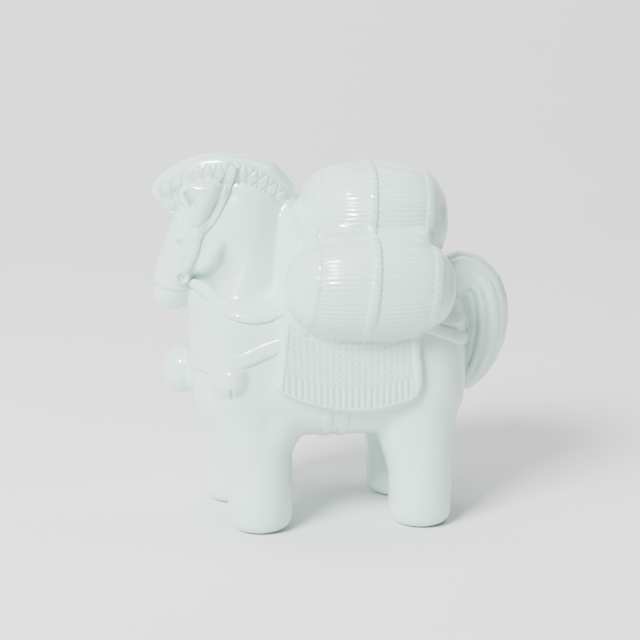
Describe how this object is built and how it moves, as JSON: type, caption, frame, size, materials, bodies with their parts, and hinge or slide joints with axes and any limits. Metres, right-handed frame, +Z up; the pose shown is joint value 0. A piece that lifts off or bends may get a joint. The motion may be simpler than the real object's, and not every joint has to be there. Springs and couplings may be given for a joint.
{
  "type": "porcelain packhorse figurine",
  "caption": "Standing packhorse figurine in white glazed porcelain, with halter, breast collar with bells, saddle cloth and tied straw bales; stands on four flat feet.",
  "frame": {"origin": "on the ground, under the middle of the whole figure's length and width", "axes": "+Z up, the horse looks along -X, its left side faces -Y"},
  "size_m": [0.1227, 0.0848, 0.1251],
  "materials": {
    "porcelain": "clear gloss glaze over cool white porcelain, unglazed foot rings"
  },
  "bodies": {
    "root": {"horse_body": "porcelain", "leg_front_left": "porcelain", "leg_front_right": "porcelain", "leg_hind_left": "porcelain", "leg_hind_right": "porcelain", "mane_and_forelock": "porcelain", "ear_left": "porcelain", "ear_right": "porcelain", "tail": "porcelain", "headstall": "porcelain", "browband": "porcelain", "cheek_strap_left": "porcelain", "cheek_strap_right": "porcelain", "bit_ring_left": "porcelain", "bit_ring_right": "porcelain", "rein_left": "porcelain", "rein_right": "porcelain", "breast_collar": "porcelain", "bell_left": "porcelain", "bell_front": "porcelain", "bell_right": "porcelain", "saddle_cloth": "porcelain", "girth_front": "porcelain", "girth_rear": "porcelain", "breeching_upper": "porcelain", "breeching_lower": "porcelain", "bale_left": "porcelain", "bale_right": "porcelain", "bale_top": "porcelain", "rope_left_front": "porcelain", "rope_left_middle": "porcelain", "rope_left_rear": "porcelain", "rope_right_front": "porcelain", "rope_right_middle": "porcelain", "rope_right_rear": "porcelain", "rope_top_front": "porcelain", "rope_top_middle": "porcelain", "rope_top_rear": "porcelain"}
  },
  "joints": []
}
